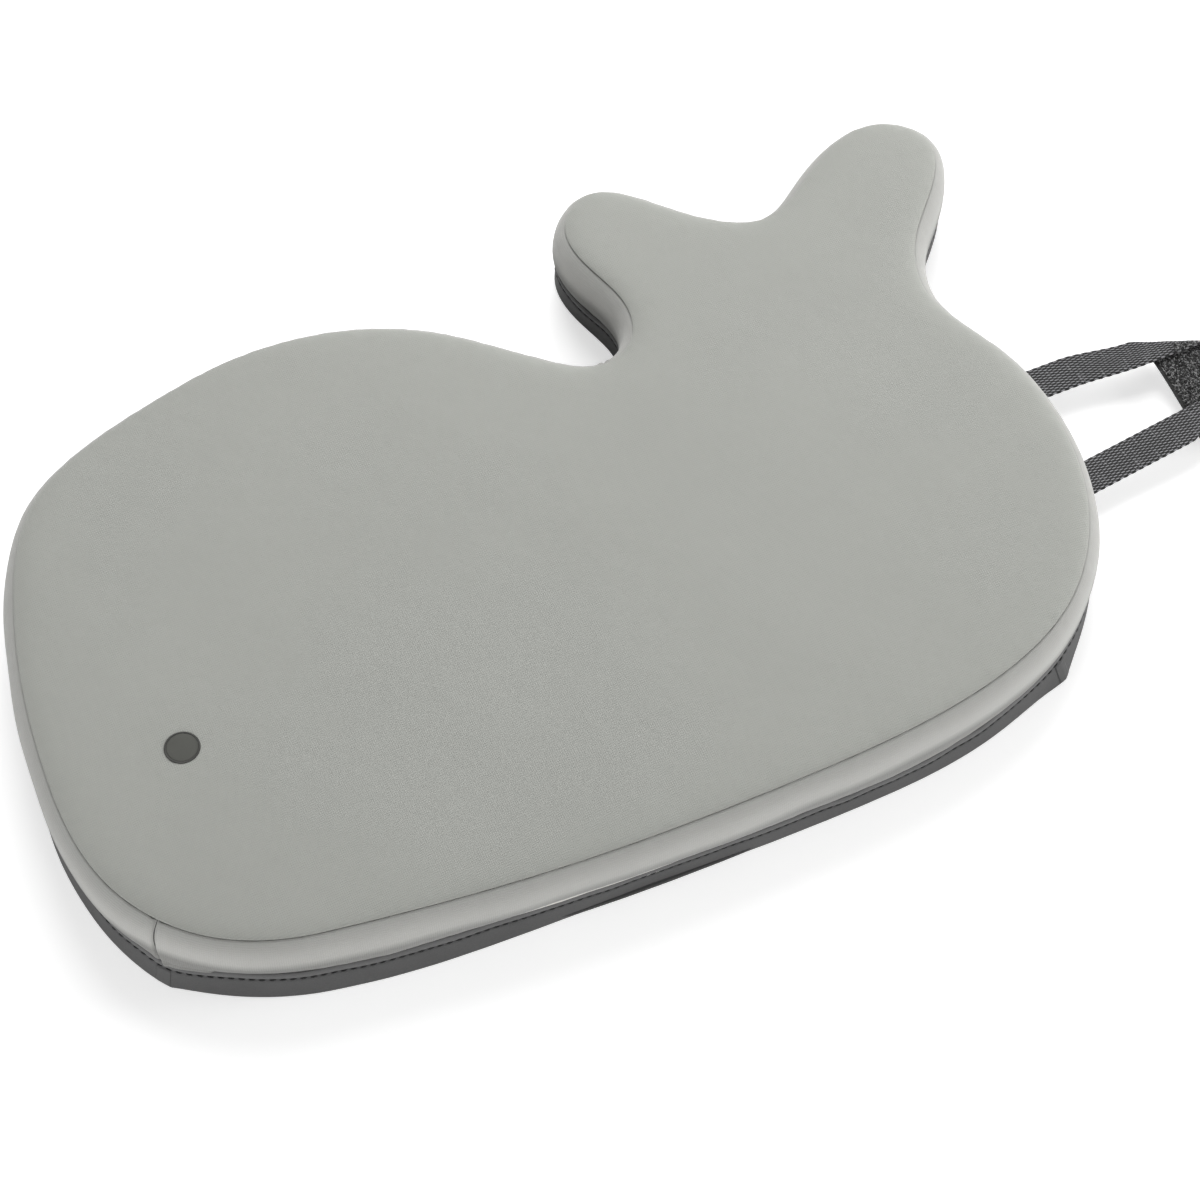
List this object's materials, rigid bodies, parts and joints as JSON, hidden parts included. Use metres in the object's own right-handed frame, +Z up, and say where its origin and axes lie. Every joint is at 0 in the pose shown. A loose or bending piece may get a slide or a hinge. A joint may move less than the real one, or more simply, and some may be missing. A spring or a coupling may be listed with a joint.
{
  "type": "kneeling pad",
  "caption": "Whale-shaped foam pad in a grey sewn fabric cover on a dark non-slip base, with a round eye and a webbing hanging loop that a hook-and-loop tab closes.",
  "frame": {"origin": "on the underside, at the middle of the pad's outline, where the pad rests", "axes": "+Z up from the underside to the top; +X along the whale from its nose to its tail, with the hanging loop at the +X end; +Y from the belly to the back and the tail fin"},
  "size_m": [0.5095, 0.2983, 0.0375],
  "materials": {
    "cover_top": "fine knit, matt",
    "cover_side": "fine knit, soft sheen",
    "thread": "sewing thread",
    "foam": "open-cell foam",
    "base": "textured non-slip sheet",
    "rim": "soft matt edge",
    "lip": "soft binding",
    "rim_thread": "sewing thread",
    "eye": "flat woven disc",
    "eye_edge": "close stitched edge",
    "webbing": "coarse basket weave",
    "pile": "brushed loop pile",
    "hook": "small stiff hooks"
  },
  "bodies": {
    "pad": {"foam_core": "foam", "top_panel": "cover_top", "top_seam": "thread", "side_band_belly": "cover_side", "side_band_back": "cover_side", "band_seam_nose": "thread", "band_seam_tail": "thread", "base_panel": "base", "base_rim_belly": "rim", "base_rim_back": "rim", "rim_lip_belly": "lip", "rim_lip_back": "lip", "rim_corner_nose": "rim", "rim_corner_belly": "rim", "rim_topstitch": "rim_thread", "eye_disc": "eye", "eye_edge": "eye_edge", "upper_strap_root": "webbing", "lower_strap_root": "webbing", "upper_root_tack": "rim_thread", "lower_root_tack": "rim_thread"},
    "loop": {"upper_strap": "webbing", "pile_tape": "pile", "pile_stitches": "rim_thread", "lower_strap": "webbing"},
    "tab": {"strap_tab": "webbing", "hook_tape": "hook", "hook_stitches": "rim_thread"}
  },
  "joints": [
    {"name": "loop_swing", "type": "hinge", "parent": "pad", "child": "loop", "pos_m": [0.20996, -0.03, 0.00845], "axis": [0, -1, 0], "range_deg": [0, 90]},
    {"name": "tab_peel", "type": "hinge", "parent": "loop", "child": "tab", "pos_m": [0.25263, -0.04846, 0.00845], "axis": [0.1219, -0.9925, 0], "range_deg": [0, 110]}
  ]
}
